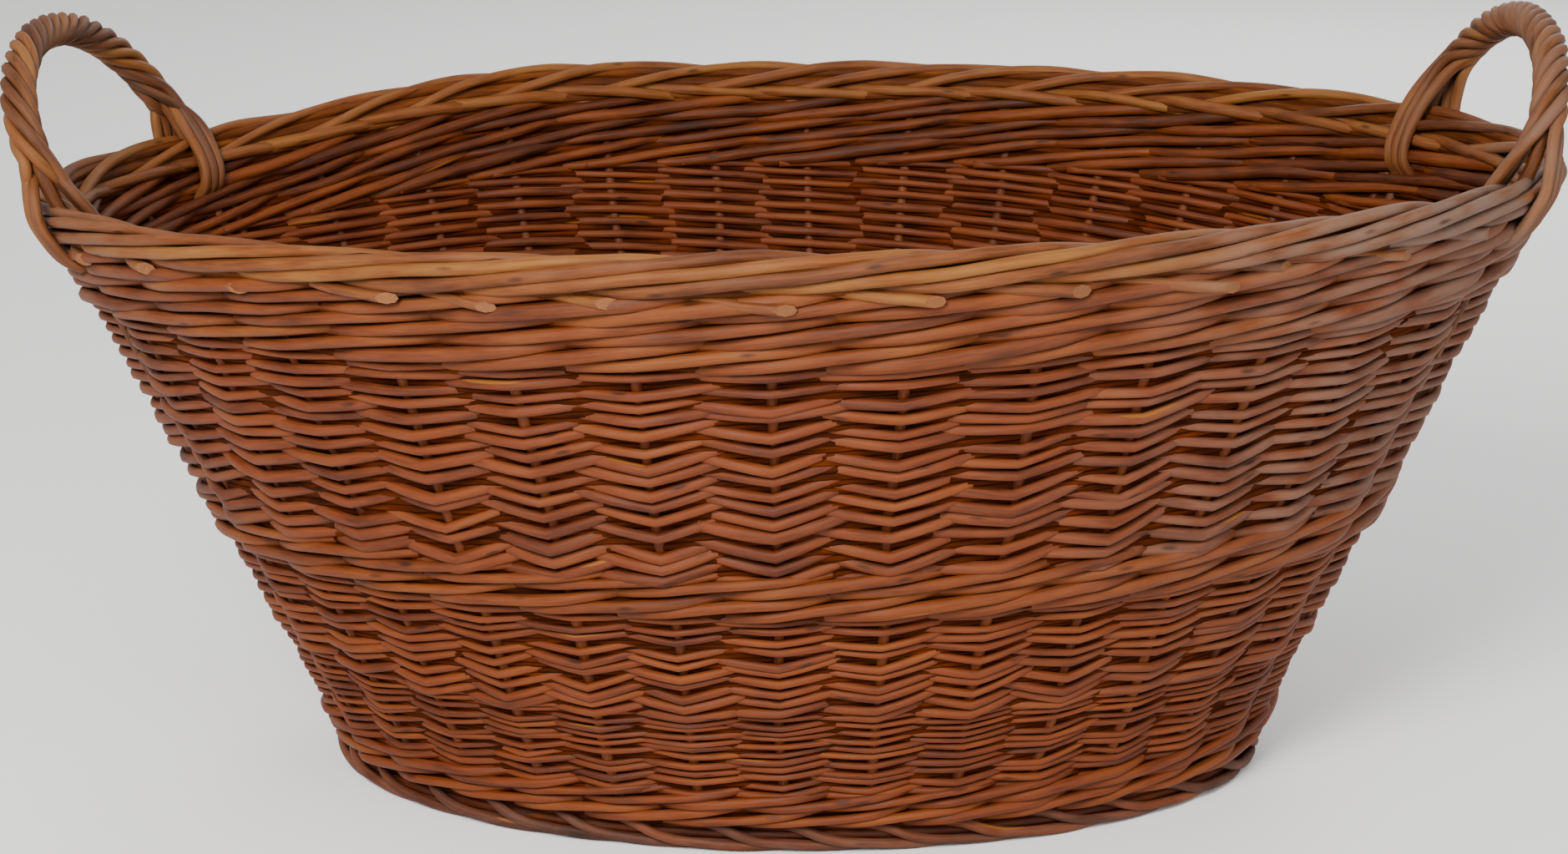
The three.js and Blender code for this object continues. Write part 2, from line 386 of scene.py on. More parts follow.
def willow(name, *shades):
    """Willow bark: streaks along the rod, blotches, leaf scars, peeled slivers and some grime.

    shades are four colours, from the darkest to the lightest. Weathered bark has a grey bloom.
    """
    dark, deep, plain, light = (srgb(*shade) for shade in shades)
    n = Nodes(name)
    bark = n.attribute("bark", "Vector")
    look = n.add("ShaderNodeSeparateColor", {"Color": n.attribute("look", "Color")}).outputs
    tone, drift, weather = look[0], look[1], look[2]

    streaks = n.noise(n.stretched(bark, *STREAKS), 1.0, 4.0, 0.6)
    blotches = n.noise(n.stretched(bark, *BLOTCHES), 1.0, 3.0, 0.5)
    grime = n.noise(n.add("ShaderNodeTexCoord").outputs["Object"], GRIME, 3.0, 0.6)

    # The shade is the rod's tone, varied along the rod and across it. That tone is the bark's own,
    # with painted shade added for the hidden rods and the wale rods inside the basket.
    shade = n.math("ADD", n.math("MULTIPLY_ADD", streaks, 0.8, -0.4), tone)
    shade = n.math("ADD", shade, n.span(drift, 0.0, 1.0, -0.09, 0.09))
    shade = n.math("ADD", shade, n.span(blotches, 0.25, 0.75, -0.15, 0.15), clamp=True)
    colour = n.ramp(shade, [(0.0, dark), (0.3, deep), (0.56, plain), (0.9, light)])

    # Weathered patches lose their colour, and grime lies on some parts of the whole basket.
    worn_share = n.math("MULTIPLY", n.span(blotches, 0.3, 0.6), weather, clamp=True)
    colour = n.mix(worn_share, colour, WORN)
    colour = n.mix(n.span(grime, 0.45, 0.75, 0.0, 0.16), colour, dark)

    scars = n.specks(n.stretched(bark, *SCARS))
    colour = n.mix(n.span(scars, 0.06, 0.16, 0.7, 0.0), colour, dark)
    peels = n.specks(n.stretched(bark, *PEELS))
    colour = n.mix(n.span(peels, 0.07, 0.09, 0.8, 0.0), colour, PEELED)
    n.put(n.shader.inputs["Base Color"], colour)

    rough = n.span(streaks, 0.3, 0.7, GLOSS - 0.08, GLOSS + 0.16)
    rough = n.math("ADD", rough, n.math("MULTIPLY", worn_share, 0.2), clamp=True)
    n.put(n.shader.inputs["Roughness"], rough)
    sheen = n.attribute("look", "Alpha")
    n.put(n.shader.inputs["Specular IOR Level"], n.math("MULTIPLY", sheen, SPECULAR))

    height = n.math("ADD", n.math("MULTIPLY", streaks, 0.5), n.math("MULTIPLY", blotches, 0.7))
    height = n.math("SUBTRACT", height, n.span(scars, 0.0, 0.12, 0.5, 0.0))
    n.relief(height, 0.7, 0.0008)
    return n.material


def cut_wood(name, heart, rim):
    """A cut end: paler wood with a fine grain."""
    n = Nodes(name)
    grain = n.noise(n.attribute("bark", "Vector"), 1400.0, 3.0, 0.6)
    n.put(n.shader.inputs["Base Color"], n.ramp(grain, [(0.3, rim), (0.7, heart)]))
    n.put(n.shader.inputs["Roughness"], n.span(grain, 0.3, 0.7, 0.62, 0.8))
    n.relief(grain, 0.5, 0.0003)
    return n.material


SIDING = willow("willow_siding", (26, 9, 2), (65, 25, 5), (93, 40, 9), (108, 55, 16))
WALE = willow("willow_wale", (26, 9, 2), (67, 28, 7), (95, 43, 10), (111, 60, 18))
BORDER = willow("willow_border", (34, 15, 4), (72, 34, 10), (99, 52, 16), (117, 75, 26))
ROPE = willow("willow_rope", (33, 15, 4), (68, 34, 10), (96, 52, 18), (117, 75, 30))
STAKE = willow("willow_stake", (26, 9, 2), (59, 23, 5), (83, 37, 10), (101, 52, 16))
BASE = willow("willow_base", (26, 9, 2), (60, 28, 7), (83, 43, 13), (101, 59, 20))
CUT = cut_wood("cut_willow", srgb(116, 68, 18), srgb(88, 46, 12))

# ---- Stakes ----

STAKE_SWAY = 0.03  # in stakes, above the bend

# Knots along a stake, and its distance out and height there.
STAKE_COURSE = (
    (0, -24, STICK_HEIGHT),
    (1, -8, STICK_HEIGHT),
    (1.6, -2.5, 18.5),
    (2.4, 0, 26),
    (4, 0, 60),
    (6, 0, 110),
    (8, 0, 160),
    (10, 0, 215),
    (12, 0, 268),
)


def stakes():
    """The upright ribs. Each starts between the base rods, turns up and leans out with the wall."""
    rng = np.random.default_rng(3)
    knots, outs, heights = np.array(STAKE_COURSE).T
    in_base, bend, upright = (0, 1, 4), (1, 2.4, 9), (2.4, 12, 30)
    at = np.unique(np.concatenate([np.linspace(*span) for span in (in_base, bend, upright)]))
    for i in range(STAKES):
        sway = through(knots, rng.normal(0, STAKE_SWAY, len(knots)) * (knots > 2), at)
        path = wall(i + sway, through(knots, heights, at), through(knots, outs, at))
        radius = STAKE_RADIUS * rng.uniform(0.92, 1.08)
        rod = skin(rng, path[None], radius, np.cross(outward(float(i)), UP))
        number = f"{i + 1:02d}"
        piece(f"stake_rod_{number}", [rod], [STAKE, CUT], "stake_willow", f"stake_{number}")


# ---- Siding ----

SIGHT_DROP = 3.2  # how much lower a line of sight is behind the stakes than in front of them
WEAVE_STEPS = np.array([0, 0.08, 0.19, 0.34, 0.5, 0.66, 0.81, 0.92])
FADE_LEVELS = 3  # at the bottom and top of a band, over which the staggering grows
TAPER = 0.8  # how soon the rods thin from butt to tip
THICKNESSES = (0.84, 1.14)

# The staggering of the rods in front of a stake and those behind it.
NEAR_SPANS = (1, 2)  # how many front rods it spans on the near wall, least and most
SPAN_JITTER = 0.2
SPAN_SWAY = 0.45
SPAN_WAVELENGTH = 15.0  # in levels
CALM_FROM = 0.62  # of the band's height, where it starts to calm down
CALM_JITTER = 0.12
CALM_OVER = 0.3
SAG = 0.55  # the front rods' share of it
RISE = 0.45  # the share of the rods behind

# How uneven the weave is.
STRAY_SWAY = 0.9
STRAY_WAVELENGTH = 7.0  # in levels
FAR_STRAY = 0.25  # the far wall's share of the near wall's unevenness
EDGE_STRAY = 0.15  # the share that is left at the bottom and top of a band
OUT_JITTER = 0.25
EARLY_JITTER = 0.07  # in stakes, how early or late a rod goes through the wall

PRESS = 0.5  # how far the rods press into the stakes
FLATTENING = 0.45  # from a rod's middle to the stake's skin, in diameters
LIFT_ROUNDNESS = 0.06
BEND_ROUNDNESS = 0.62
BUTT_PAST = 0.42  # how far a rod reaches past its first and its last stake
TIP_PAST = 0.3
TONE_SPREAD = 0.08
BLEACHED = 0.85  # the most of the rim's grey bloom that a rod gets

# Hidden rods in the stakes' own plane close the gaps that the ones in sight leave. Their dark tone
# is painted shade.
CORE_SHADE_TONE = 0.2
CORE_SHEEN = 0.1
CORE_STEP = 0.25
CORE_RADIUS = 0.6  # of the levels' pitch
CORE_LUMPS = 0.02


def eased(share, roundness):
    """From 0 to 1 with share, straight or, for the share roundness of it, as a soft step."""
    return (1 - roundness) * share + roundness * (1 - np.cos(np.pi * share)) / 2


def weave_places(first, last):
    """Places along a woven rod, in stakes, closer together where it bends round a stake."""
    whole = np.arange(math.floor(first), math.ceil(last) + 1)
    places = (whole[:, None] + WEAVE_STEPS).ravel()
    inner = places[(places > first + 0.02) & (places < last - 0.02)]
    return np.concatenate([[first], inner, [last]])


def ring_places(start, count):
    """Once round the wall and a stake further, as the places of one rod."""
    return start + np.linspace(0, STAKES + 1.0, count)[None]


def core(rng, place, height, out, radius, tone=CORE_SHADE_TONE, sheen=CORE_SHEEN, lumps=0.05):
    """Hidden rods, or one, that close gaps, dark with painted shade."""
    path = wall(place, height, out)
    return skin(rng, path, radius, outward(place), tone, lumps=lumps, sheen=sheen)


def weather_at(place):
    """The grey bloom on the near side: strong toward the right-hand end, slight at the left."""
    angle = angle_at(place)
    near = np.clip(0.55 - 1.5 * np.sin(angle), 0, 1)
    right = np.clip((np.cos(angle) - 0.35) / 0.45, 0, 1)
    left = np.clip((-0.7 - np.cos(angle)) / 0.25, 0, 1)
    return (1.05 * right + 0.3 * left) * near + 0.1


def courses(level, levels, bottom, top, butt, tip):
    """Each level's share of the band, its rods' diameter, their middle height and their pitch."""
    share = np.clip(level / levels, 0, 1)
    diameter = butt + (tip - butt) * share**TAPER
    rise = np.concatenate([[0], np.cumsum((diameter[1:] + diameter[:-1]) / 2)])
    scale = (top - bottom) / (rise[-2] - rise[1])
    return share, diameter, bottom + (rise - rise[1]) * scale, diameter * scale


def siding(name, seed, bottom, top, levels, butt, tip, far, calm, tone, scatter):
    """French rand: one rod from each space, each a level higher at every stake that it passes.

    The rods pass in front of a stake and behind the next. Rods in front sag and rods behind rise,
    so that each stake's two sets are staggered. far is that staggering on the +Y side, least and
    most, in millimetres. calm is how many front rods it spans on the -Y side at the very top of
    the band. scatter is how uneven the rods' heights are.
    """
    rng = np.random.default_rng(seed)
    level = np.arange(-1, levels + 2)
    share, diameter, centre, pitch = courses(level, levels, bottom, top, butt, tip)
    fade = np.clip(np.minimum(level + 1, levels - level) / FADE_LEVELS, 0, 1)
    front = level % 2 == 1

    rods = np.arange(STAKES)
    stake = (rods[:, None] + level[None, :]) % STAKES
    every_level = np.broadcast_to(level * 1.0, (STAKES, len(level)))
    spans = np.round(rng.uniform(NEAR_SPANS[0] - 0.49, NEAR_SPANS[1] + 0.49, STAKES))
    spans = spans + rng.normal(0, SPAN_JITTER, STAKES)
    sway = wander(rng, STAKES, every_level, SPAN_WAVELENGTH)
    late = rng.uniform(-CALM_JITTER, CALM_JITTER, STAKES)[stake]
    calming = np.clip((share - CALM_FROM - late) / CALM_OVER, 0, 1)
    spans = (spans[stake] + SPAN_SWAY * sway[stake, level + 1]) * (1 - calming) + calm * calming
    near_stagger = spans * 2 * pitch - SIGHT_DROP
    far_stagger = rng.uniform(*far, STAKES)[stake]
    facing = np.clip(0.5 - 0.9 * np.sin(angle_at(stake)), 0, 1)
    stagger = near_stagger * facing + far_stagger * (1 - facing)

    thick = rng.uniform(*THICKNESSES, (STAKES, 1))
    shift = np.where(front, -SAG, RISE) * stagger
    stray = rng.normal(0, scatter, stake.shape)
    stray = stray + STRAY_SWAY * wander(rng, STAKES, every_level, STRAY_WAVELENGTH)
    stray = stray * (FAR_STRAY + (1 - FAR_STRAY) * facing)
    height = centre + shift * fade + stray * (fade + EDGE_STRAY)
    out = np.where(front, 1, -1) * (STAKE_RADIUS - PRESS + diameter * thick * FLATTENING) * LEAN
    out = out + rng.normal(0, OUT_JITTER, stake.shape)
    # Past its first and last stake a rod goes on as it was, a little further in.
    height[:, 0], height[:, -1] = height[:, 1], height[:, -2]
    out[:, 0], out[:, -1] = out[:, 1] - 1, out[:, -2] - 1

    at = weave_places(-BUTT_PAST, levels + TIP_PAST)
    left = np.clip(np.floor(at).astype(int), -1, levels)
    across = at - left
    index = left + 1
    early = rng.normal(0, EARLY_JITTER, stake.shape)[:, index]
    through_wall = np.clip(across + early * 4 * across * (1 - across), 0, 1)
    lift_share = eased(across, LIFT_ROUNDNESS)
    out_share = eased(through_wall, BEND_ROUNDNESS)
    z = height[:, index] * (1 - lift_share) + height[:, index + 1] * lift_share
    o = out[:, index] * (1 - out_share) + out[:, index + 1] * out_share
    radius = np.interp(at, level, diameter) * thick / 2
    place = rods[:, None] + at[None, :]
    rod_tone = rng.normal(tone, TONE_SPREAD, STAKES)
    weather = BLEACHED * weather_at(place) * (top / HEIGHT) ** 2
    rod = skin(rng, wall(place, z, o), radius, outward(place), rod_tone, weather)

    # The hidden rods behind the gaps, dark with painted shade.
    core_at = np.arange(0, levels + CORE_STEP / 2, CORE_STEP)
    core_radius = np.interp(core_at, level, CORE_RADIUS * pitch)
    core_z = np.interp(core_at, level, centre)
    core_place = rods[:, None] + core_at[None, :]
    inner = core(rng, core_place, core_z, 0.0, core_radius, lumps=CORE_LUMPS)
    piece(f"woven_{name}", [rod, inner], [SIDING, STAKE], "siding_willow", name)


# ---- Wales ----

WALE_FRONT = 2
WALE_BEHIND = 2
WALE_STROKE = WALE_FRONT + WALE_BEHIND
WALE_TURN = 0.45  # in stakes, how far before or past a stake a rod's climb starts or ends
WALE_BASE = 0.75  # in steps, how high a round's strokes start
WALE_THICKNESSES = (0.86, 1.14)
WALE_THINNING = (1.06, 0.9)
WALE_ROUNDNESS = 0.6
WALE_SWAY = 1.1
WALE_WAVELENGTH = 200.0
WALE_STEP = 50.0  # about the distance from one stake to the next
WALE_BLEACHED = 0.7
WALE_INSIDE_SHADE = 0.16  # painted shade: how much darker the rods are inside the basket
WALE_FULLY_OUT = 3.0  # how far out or in a rod is when it counts as outside or inside
WALE_CORES = (1.5, 3.6, 2.2)  # the first hidden ring above the bottom, their pitch and radius


def wale(name, seed, bottom, top, rounds, diameter, material, first, slot="wale_willow"):
    """Each rod passes in front of two stakes and behind two, and climbs all the while it shows.

    A round has as many rods as a stroke has stakes. They start one stake apart, at the place first
    and on, and each goes once round, until its end lies beside its own start.
    """
    rng = np.random.default_rng(seed)
    step = (top - bottom) / (rounds * WALE_FRONT)
    low, high = (WALE_TURN - 1) * step, (WALE_FRONT - WALE_TURN) * step
    starts, ends = WALE_TURN, WALE_FRONT + 1 - WALE_TURN
    turning = [ends - WALE_STROKE, starts, ends, starts + WALE_STROKE]
    parts = []
    for turn in range(rounds):
        base = bottom + step * (WALE_FRONT * turn + WALE_BASE)
        for weaver in range(WALE_STROKE):
            last = weaver + STAKES
            at = weave_places(weaver - WALE_TURN, last + WALE_TURN)
            knot = np.arange(weaver - 1, last + 2)
            phase = (knot - weaver) % WALE_STROKE
            in_front = (phase > 0) & (phase <= WALE_FRONT) & (knot <= last)
            thick = diameter * rng.uniform(*WALE_THICKNESSES)
            out = np.where(in_front, 1, -1) * (STAKE_RADIUS + thick / 2) * LEAN
            left = np.clip(np.searchsorted(knot, at, side="right") - 1, 0, len(knot) - 2)
            across = eased(at - knot[left], WALE_ROUNDNESS)
            o = out[left] * (1 - across) + out[left + 1] * across
            sway = wander(rng, 1, at[None] * WALE_STEP, WALE_WAVELENGTH)[0]
            climb = np.interp((at - weaver) % WALE_STROKE, turning, [high, low, high, low])
            z = base + climb + WALE_SWAY * sway
            place = (first + at)[None]
            radius = thick / 2 * np.linspace(*WALE_THINNING, len(at))[None]
            weather = WALE_BLEACHED * weather_at(place) * (top / HEIGHT) ** 2
            weather = weather * np.clip(o / WALE_FULLY_OUT, 0.1, 1)
            inside = np.clip(-o / WALE_FULLY_OUT, 0, 1)[None]
            # Painted shade: the rods are darker where they pass inside the basket.
            tone = rng.normal(*RANDOM_TONE) - WALE_INSIDE_SHADE * inside
            parts.append(skin(rng, wall(place, z, o), radius, outward(place), tone, weather))
    # Hidden rings behind the gaps, dark with painted shade.
    core_first, core_pitch, core_radius = WALE_CORES
    for height in np.arange(bottom + core_first, top, core_pitch):
        parts.append(core(rng, ring_places(first, 200), height, 0.0, core_radius))
    piece(f"woven_{name}", parts, [material, CUT], slot, name)


# ---- Borders ----

# Places along a rod in stakes, and its distance out and height there.
FOOT_COURSE = (
    (-1.9, -6.5, 3.5),
    (-1.2, -7.0, 5.5),
    (-0.5, -6.5, 8.6),
    (-0.1, -4.0, 10.4),
    (0.2, 2.5, 11.0),
    (0.42, 5.0, 8.0),
    (0.66, 5.6, 5.4),
    (1.0, 5.5, 4.0),
    (1.6, 4.6, 2.7),
    (2.1, 1.5, 2.5),
    (2.6, -4.0, 3.5),
)
RIM_COURSE = (
    (0, 0, 262),
    (0.25, -0.8, 268.5),
    (0.6, -5.5, 271.3),
    (1, -8.2, 272.5),
    (1.5, -2.5, 272.5),
    (2, 4.5, 271.7),
    (3, 7.0, 276),
    (4, 5.0, 281.5),
    (4.6, 1, 283.4),
    (5.2, -5, 282),
    (5.7, -7.5, 277.5),
    (6.1, -5, 272.5),
    (6.4, 0, 269.5),
    (6.7, 6.0, 267.5),
    (7, 9.6, 266),
    (7.3, 12.0, 264.6),
)
RIM_LENGTHS = (6.75, 7.4)  # in stakes, least and most
RIM_TAIL = (6.2, 0.8)  # where a rod's tail starts, and how soon it is on its own
RIM_SLANT = -1.7  # of the cut ends

# Height, distance out and radius of the hidden rings.
FOOT_CORES = ((3.1, 0.5, 2.3), (6.6, 0.0, 2.3), (9.8, -2.5, 2.3), (4.6, -4.5, 2.3))
RIM_CORES = ((269.8, -3.2, 2.3), (270.6, 3.2, 2.3), (275.8, 0.0, 3.3), (280.6, -0.5, 2.7))


def foot_border():
    """Each rod hooks out over the last one, turns down and lies along the floor under the next."""
    rng = np.random.default_rng(21)
    knots, outs, heights = np.array(FOOT_COURSE).T
    at = np.linspace(knots[0], knots[-1], 48)
    place = np.arange(STAKES)[:, None] + at + rng.normal(0, 0.05, (STAKES, 1))
    o = through(knots, outs, at) + rng.normal(0, 0.35, (STAKES, 1))
    thick = rng.uniform(2.05, 2.4, (STAKES, 1))
    z = through(knots, heights, at) + rng.normal(0, 0.3, (STAKES, 1))
    z = np.maximum(z, thick + 0.1)
    tone = rng.normal(0.36, 0.1, STAKES)
    parts = [skin(rng, wall(place, z, o), thick, outward(place), tone, 0.25, lumps=0.04)]
    # Hidden rings behind the hooks, dark with painted shade.
    for height, out, radius in FOOT_CORES:
        place = ring_places(rng.uniform(0, STAKES), 260)
        z = height + 0.4 * wander(rng, 1, place * 30, 150.0)
        parts.append(core(rng, place, z, out, radius, tone=0.3, sheen=1.0))
    piece("woven_foot_border", parts, [SIDING, STAKE], "siding_willow", "foot_border")


def rim_border():
    """The stakes, laid down: behind two, in front of several, and cut off under the border."""
    rng = np.random.default_rng(8)
    knots, outs, heights = np.array(RIM_COURSE).T
    at = np.linspace(0, 1, 110)
    t = at * rng.uniform(*RIM_LENGTHS, (STAKES, 1))
    place = np.arange(STAKES)[:, None] + t
    tail = np.clip((t - RIM_TAIL[0]) / RIM_TAIL[1], 0, 1)
    o = through(knots, outs, t) + 0.9 * wander(rng, STAKES, t * 60, 230.0)
    z = through(knots, heights, t) + 1.1 * wander(rng, STAKES, t * 60, 210.0)
    z += tail * rng.normal(0, 1.6, (STAKES, 1))
    thick = rng.uniform(2.7, 3.3, (STAKES, 1)) * (1 - 0.2 * at)
    tone = rng.normal(0.56, 0.13, STAKES)
    weather = weather_at(place)
    path = wall(place, z, o)
    parts = [skin(rng, path, thick, outward(place), tone, weather, ends=(0, RIM_SLANT))]
    # Hidden rings in the border's gaps, darker than the rods in sight: painted shade.
    for height, out, radius in RIM_CORES:
        place = ring_places(rng.uniform(0, STAKES), 220)
        parts.append(core(rng, place, height, out, radius, tone=0.33, sheen=0.4))
    piece("woven_rim_border", parts, [BORDER, CUT], "border_willow", "rim_border")


# ---- Handles ----

FRONT_FOOT = -1.45  # in stakes, from the end's middle
BACK_FOOT = 1.8
ROPE_BOTTOM = HEIGHT + 3.6
HANDLES = {"left": (-1, 335.0, 338.0), "right": (1, 337.0, 328.0)}  # side, top and reach
ARCH_FULLNESS = 0.72
ARCH_POINTS = 160
BOW_RADIUS = 3.0
BOW_TONE = 0.35
STRANDS = 6
STRAND_RADIUS = 2.55
STRAND_ORBIT = 5.4
STRAND_TURNS = 3.0
RELEASE = 17.0  # how far up the rope its strands part
STAKE_STEP = 55.0  # from one stake to the next at the rim

ROPE_THICKNESSES = (0.9, 1.1)
ROPE_WEATHER = {"left": (0.15, 0.15), "right": (0.75, 0.1)}  # at the front foot and the back one
ROPE_SPACING = 2.4
BOW_SPACING = 5.0
BOW_DEPTHS = (205, 225, 245, 265, 280)

# Below the rope the strands lie side by side. Each first goes over the border, down its face and in
# under the top rods: its distance out and height there. Meanwhile it drifts toward the handle's
# middle inside the rim and away from it outside.
LACE_SPREAD = 5.29
LACE_INSIDE_BELOW = -0.4  # the cosine of a strand's angle, below which it goes down inside the rim
LACE_DRIFT_SHARES = (0.2, 0.45, 0.75, 1.0, 1.0, 1.0)
LACE_OVER = HEIGHT + 3.0
INSIDE_DRIFT = -4.0
INSIDE_LACE = (
    (-9.0, LACE_OVER),
    (-12.0, 276),
    (-12.2, 268),
    (-9.5, 261),
    (-3, 255.5),
    (1.0, 251),
)
OUTSIDE_DRIFT = 3.0
OUTSIDE_LACE = (
    (9.5, LACE_OVER),
    (12.6, 281),
    (12.4, 271),
    (9.5, 261),
    (3, 256),
    (-1.0, 251),
)


def handle_feet(side):
    """The places of the front foot and the back foot."""
    places = [FRONT_FOOT, BACK_FOOT]
    return places if side > 0 else [STAKES / 2 - p for p in places]


def evenly(points, count):
    """The line through the points again, as count evenly spaced points, and how far each is."""
    lengths = along(points)
    at = np.linspace(0, lengths[-1], count)
    return np.stack([np.interp(at, lengths, points[:, i]) for i in range(3)], axis=1), at


def arch(side, top, reach):
    """The bow's own line above the border, evenly spaced from the front foot to the back foot."""
    feet = [wall(p, ROPE_BOTTOM) for p in handle_feet(side)]
    angle = np.pi * (1 - np.cos(np.linspace(0, np.pi, 1200))) / 2
    rise = np.maximum(np.sin(angle), 0) ** ARCH_FULLNESS
    across = ((1 - np.cos(angle)) / 2)[:, None]
    foot = feet[0] * (1 - across) + feet[1] * across
    x = foot[:, 0] * (1 - rise) + side * reach * rise
    z = foot[:, 2] * (1 - rise) + top * rise
    return evenly(np.stack([x, foot[:, 1], z], axis=1), ARCH_POINTS)


def carried_frames(path, start):
    """A direction across each point of the path, carried along without twisting."""
    tangent = unit(np.gradient(path, axis=0))
    carried = np.empty_like(path)
    current = np.asarray(start, float)
    for i, t in enumerate(tangent):
        current = unit(current - current.dot(t) * t)
        carried[i] = current
    return carried


def resampled(points, spacing):
    """A smooth line through the points, with even spacing."""
    chord = along(points)
    fine = through(chord, points, np.linspace(0, chord[-1], 1500))
    return evenly(fine, max(8, int(along(fine)[-1] / spacing)))[0]


def lace(foot, away, offset, inside):
    """Where a strand goes below the rope.

    offset is how far it lies beside the foot, and away the direction from the handle's middle.
    """
    drift, course = (INSIDE_DRIFT, INSIDE_LACE) if inside else (OUTSIDE_DRIFT, OUTSIDE_LACE)
    points = []
    for (out, height), share in zip(course, LACE_DRIFT_SHARES):
        beside = away * drift * share + offset
        points.append(wall(foot + beside / STAKE_STEP, height, out))
    return points


def handle(label, side, top, reach):
    """Strands twisted round a bow that is pushed down into the wall, and laced to the rim."""
    rng = np.random.default_rng(40 + side)
    path, at = arch(side, top, reach)
    tangent = unit(np.gradient(path, axis=0))
    plane = unit(np.cross(path[ARCH_POINTS // 2] - path[0], path[-1] - path[0]))
    if plane[0] * side < 0:
        plane = -plane
    across = unit(plane - (tangent @ plane)[:, None] * tangent)
    beside = np.cross(tangent, across)
    roped = (at >= RELEASE) & (at <= at[-1] - RELEASE)
    turned = np.clip((at - RELEASE) / (at[-1] - 2 * RELEASE), 0, 1)
    feet = handle_feet(side)
    middle = 0.0 if side > 0 else STAKES / 2
    facing = outward(feet[0])

    parts = []
    for strand in range(STRANDS):
        start_angle = strand * 360.0 / STRANDS
        twist = turned * STRAND_TURNS * 360.0
        angle = np.radians(start_angle + side * twist)[:, None]
        line = path + STRAND_ORBIT * (np.cos(angle) * across + np.sin(angle) * beside)
        ends = []
        for foot, turns, direction in ((feet[0], 0.0, side), (feet[1], STRAND_TURNS, -side)):
            foot_angle = math.radians(start_angle + side * turns * 360.0)
            inside = math.cos(foot_angle) < LACE_INSIDE_BELOW
            offset = LACE_SPREAD * direction * math.sin(foot_angle)
            ends.append(lace(foot, np.sign(foot - middle), offset, inside))
        points = np.array(ends[0][::-1] + list(line[roped][::4]) + ends[1])
        smooth = resampled(points, ROPE_SPACING)
        frames = carried_frames(smooth, facing)[None]
        thick = STRAND_RADIUS * rng.uniform(*ROPE_THICKNESSES)
        weather = np.linspace(*ROPE_WEATHER[label], len(smooth))
        tone = rng.normal(0.5, 0.12)
        parts.append(skin(rng, smooth[None], thick, frames, tone, weather, lumps=0.06))
    piece(f"rope_{label}", parts, [ROPE, CUT], "handle_willow", f"handle_rope_{label}")

    front = [wall(feet[0], height) for height in BOW_DEPTHS]
    back = [wall(feet[1], height) for height in reversed(BOW_DEPTHS)]
    bow_path = resampled(np.array(front + list(path[::5]) + back), BOW_SPACING)
    frames = carried_frames(bow_path, facing)[None]
    bow = skin(rng, bow_path[None], BOW_RADIUS, frames, BOW_TONE)
    piece(f"bow_{label}", [bow], [ROPE, CUT], "handle_willow", f"handle_bow_{label}")


# ---- Base ----

MAT_EDGE = 9.6
MAT_PITCH = 3.55
MAT_OUTER = 1.5  # from the mat's edge to its last oval
MAT_INNER = 8.0  # the least half width of an oval
STAKE_ROWS = 36.0  # from the edge in, where the mat is woven round the stakes' ends
MAT_RADII = (1.35, 1.6)
MAT_LIFT = 4.6  # how far a rod goes over a stick and under the next
MAT_LIFT_AT_STAKES = 3.4
MAT_SWING = 0.9
MAT_PAST_STICK = 4.0  # how far beyond a stick an oval has to reach to be woven round it
STICK_INSET = 28.0  # from the stakes' oval in to the sticks' ends
CROSS_STICKS = 7
CROSS_SPACING = 46.0
CROSS_RADIUS = 5.0
LONG_STICKS = 3
LONG_SPACING = 5.4
LONG_RADIUS = 2.5


def base_half():
    """The half sizes of the stakes' oval at the height of the base."""
    share = STICK_HEIGHT / HEIGHT
    return [FLOOR_OVAL[i] + (RIM_OVAL[i] - FLOOR_OVAL[i]) * share for i in (0, 1)]


def stick_places(count, spacing):
    return (np.arange(count) - (count - 1) / 2) * spacing


def stick(rng, name, start, end, radius, points):
    at = np.linspace(0, 1, points)[:, None]
    line = np.array(start) * (1 - at) + np.array(end) * at
    rod = skin(rng, line[None], radius, UP, rng.normal(0.5, 0.1), lumps=0.03)
    piece(f"base_{name}", [rod], [BASE, CUT], "base_willow", name)


def base_sticks():
    rng = np.random.default_rng(60)
    reach = [h - STICK_INSET for h in base_half()]
    z = STICK_HEIGHT
    for i, x in enumerate(stick_places(CROSS_STICKS, CROSS_SPACING)):
        y = reach[1] * math.sqrt(1 - (x / reach[0]) ** 2)
        stick(rng, f"cross_stick_{i + 1}", (x, -y, z), (x, y, z), CROSS_RADIUS, 30)
    for i, y in enumerate(stick_places(LONG_STICKS, LONG_SPACING)):
        x = reach[0] * math.sqrt(1 - (y / reach[1]) ** 2)
        stick(rng, f"long_stick_{i + 1}", (-x, y, z), (x, y, z), LONG_RADIUS, 60)


def crossings(a, at_stakes):
    """The angles at which an oval of the half length a passes the stakes, or else the sticks."""
    if at_stakes:
        marks = angle_at(np.arange(STAKES))
    else:
        marks = [0.0, np.pi]
        for x in stick_places(CROSS_STICKS, CROSS_SPACING):
            if abs(x) < a - MAT_PAST_STICK:
                marks += [math.acos(x / a), 2 * np.pi - math.acos(x / a)]
    return np.unique(np.round(marks, 4))


